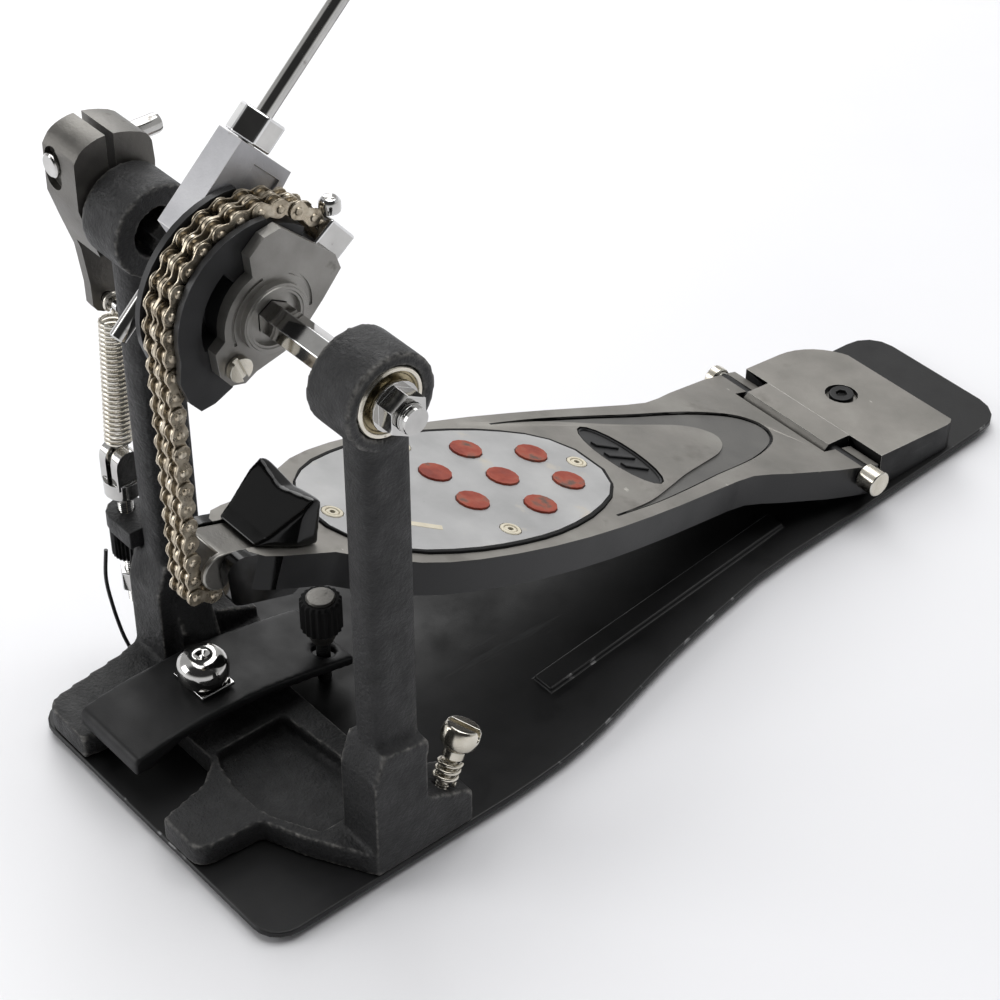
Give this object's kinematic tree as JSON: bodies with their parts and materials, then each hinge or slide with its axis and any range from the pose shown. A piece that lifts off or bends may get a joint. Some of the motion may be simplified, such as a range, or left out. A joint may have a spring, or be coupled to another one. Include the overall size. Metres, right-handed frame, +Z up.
{
  "type": "bass drum pedal",
  "caption": "Bass drum pedal: hinged footboard, double chain over a cam, hexagonal axle between two posts, felt beater, side return spring, hoop clamp and sheet steel base",
  "frame": {"origin": "on the floor, straight below the axle, in the middle plane of the chain", "axes": "+X along the axle away from the return spring, +Y from the drum towards the heel, +Z up"},
  "size_m": [0.1829, 0.4318, 0.401],
  "materials": {
    "sheet_black": "matte black paint on steel sheet",
    "cast_black": "textured black powder coat",
    "cam_black": "smooth satin black",
    "gloss_black": "gloss black",
    "rubber": "black",
    "red_rubber": "red-orange, worn",
    "satin_alloy": "satin, worn",
    "pale_plate": "pale silver, fine brushed",
    "steel": "satin zinc plate",
    "chrome": "polished",
    "chain_steel": "worn nickel with a brassy tone",
    "felt": "dense wool felt"
  },
  "bodies": {
    "frame": {"base_plate": "sheet_black", "rubber_pad_front": "rubber", "rubber_pad_heel": "rubber", "frame_casting": "cast_black", "spur_spring_right": "steel", "spur_spring_left": "steel", "clamp_bolt": "chrome", "bearing_outer_right": "steel", "bearing_outer_left": "steel", "tension_clevis": "chrome", "spring_lug": "cast_black", "tension_nut": "chrome", "spring_clip": "sheet_black", "heel_plate": "satin_alloy", "heel_screw": "sheet_black", "hinge_pin": "steel"},
    "axle": {"axle_shaft": "steel", "bearing_inner_right": "steel", "bearing_inner_left": "steel", "axle_nut": "steel", "cam": "cam_black", "hub_plate": "satin_alloy", "hub_screw": "steel", "chain_anchor": "chrome", "anchor_pin": "chrome", "chain_wrap": "chain_steel", "beater_holder": "satin_alloy", "holder_nut": "chrome", "spring_rocker": "satin_alloy", "rocker_bolt": "chrome", "rocker_pin": "chrome"},
    "beater": {"beater_rod": "chrome", "beater_hub": "gloss_black", "beater_felt": "felt"},
    "footboard": {"footboard": "satin_alloy", "grip_plate": "pale_plate", "plate_gasket": "rubber", "grip_rubber": "red_rubber", "plate_screw_1": "steel", "plate_screw_2": "steel", "plate_screw_3": "steel", "plate_screw_4": "steel", "badge": "sheet_black", "toe_connector": "satin_alloy", "toe_stop": "gloss_black", "chain_end_link": "chain_steel"},
    "chain_run": {"chain_run": "chain_steel"},
    "chain_link_1": {"chain_link_1": "chain_steel"},
    "chain_link_2": {"chain_link_2": "chain_steel"},
    "chain_link_3": {"chain_link_3": "chain_steel"},
    "chain_link_4": {"chain_link_4": "chain_steel"},
    "spring_lower": {"spring_foot": "steel"},
    "spring_coil": {"return_spring": "steel"},
    "spring_hook": {"spring_hook": "steel"},
    "clamp_screw": {"clamp_knob": "gloss_black"},
    "clamp_jaw": {"clamp_plate": "sheet_black", "clamp_washer": "chrome"},
    "spur_right": {"spur_screw_right": "steel"},
    "spur_left": {"spur_screw_left": "steel"},
    "tension_knob": {"tension_knob": "gloss_black"}
  },
  "joints": [
    {"name": "axle_swing", "type": "hinge", "parent": "frame", "child": "axle", "pos_m": [0, 0, 0.2132], "axis": [1, 0, 0], "range_deg": [0, 60], "stiffness_Nm_per_rad": 1, "springref_deg": -22.92},
    {"name": "footboard_tilt", "type": "hinge", "parent": "frame", "child": "footboard", "pos_m": [0, 0.2768, 0.0191], "axis": [1, 0, 0], "range_deg": [0, 6.6]},
    {"name": "chain_run_tilt", "type": "hinge", "parent": "footboard", "child": "chain_run", "pos_m": [0, -0.0343, 0.1032], "axis": [1, 0, 0], "range_deg": [-9.6, 0]},
    {"name": "chain_link_1_peel", "type": "hinge", "parent": "frame", "child": "chain_link_1", "pos_m": [0, 0.25437, 0.18242], "axis": [1, 0, 0], "range_deg": [0, 7.2], "deforming": ["chain_link_1"]},
    {"name": "chain_link_2_peel", "type": "hinge", "parent": "frame", "child": "chain_link_2", "pos_m": [0, 0.06478, 0.19738], "axis": [1, 0, 0], "range_deg": [0, 20.6], "deforming": ["chain_link_2"]},
    {"name": "chain_link_3_peel", "type": "hinge", "parent": "frame", "child": "chain_link_3", "pos_m": [0, 0.02521, 0.20367], "axis": [1, 0, 0], "range_deg": [0, 34], "deforming": ["chain_link_3"]},
    {"name": "chain_link_4_peel", "type": "hinge", "parent": "frame", "child": "chain_link_4", "pos_m": [0, 0.00845, 0.20866], "axis": [1, 0, 0], "range_deg": [0, 47.4], "deforming": ["chain_link_4"]},
    {"name": "spring_swing", "type": "hinge", "parent": "frame", "child": "spring_lower", "pos_m": [-0.0848, -0.006, 0.097], "axis": [1, 0, 0], "range_deg": [-23, 0]},
    {"name": "spring_hook_turn", "type": "hinge", "parent": "axle", "child": "spring_hook", "pos_m": [-0.0848, -0.0015, 0.1667], "axis": [1, 0, 0], "range_deg": [-84, 0]},
    {"name": "spring_stretch", "type": "slide", "parent": "spring_lower", "child": "spring_coil", "axis": [0, 0.0644, 0.9979], "range_m": [0, 0.033], "deforming": ["return_spring"]},
    {"name": "beater_height", "type": "slide", "parent": "axle", "child": "beater", "axis": [0, 0.729, 0.6845], "range_m": [-0.03, 0.015]},
    {"name": "clamp_screw_turn", "type": "hinge", "parent": "frame", "child": "clamp_screw", "pos_m": [-0.0173, 0.035, 0.04], "axis": [0, 0, 1], "range_deg": [-560, 110]},
    {"name": "clamp_rock", "type": "hinge", "parent": "frame", "child": "clamp_jaw", "pos_m": [-0.025, -0.0155, 0.0305], "axis": [1, 0, 0], "range_deg": [-2.9, 0.6]},
    {"name": "spur_right_height", "type": "slide", "parent": "frame", "child": "spur_right", "axis": [0, 0.4194, 0.9078], "range_m": [-0.002, 0.005], "deforming": ["spur_spring_right"]},
    {"name": "spur_left_height", "type": "slide", "parent": "frame", "child": "spur_left", "axis": [0, 0.4194, 0.9078], "range_m": [-0.002, 0.005], "deforming": ["spur_spring_left"]},
    {"name": "tension_knob_turn", "type": "hinge", "parent": "frame", "child": "tension_knob", "pos_m": [-0.0848, -0.006, 0.0567], "axis": [0, 0, 1], "range_deg": [-360, 360]}
  ],
  "couplings": [
    {"joint": "footboard_tilt", "follows": "axle_swing", "ratio": 0.10824},
    {"joint": "chain_run_tilt", "follows": "axle_swing", "ratio": -0.15715},
    {"joint": "chain_link_1_peel", "follows": "axle_swing", "ratio": 0.11813},
    {"joint": "chain_link_2_peel", "follows": "axle_swing", "ratio": 0.34086},
    {"joint": "chain_link_3_peel", "follows": "axle_swing", "ratio": 0.56358},
    {"joint": "chain_link_4_peel", "follows": "axle_swing", "ratio": 0.7863},
    {"joint": "spring_swing", "follows": "axle_swing", "ratio": -0.37864},
    {"joint": "spring_hook_turn", "follows": "axle_swing", "ratio": -1.3786},
    {"joint": "spring_stretch", "follows": "axle_swing", "m_per_rad": 0.031023},
    {"joint": "clamp_rock", "follows": "clamp_screw_turn", "ratio": 0.005134}
  ]
}
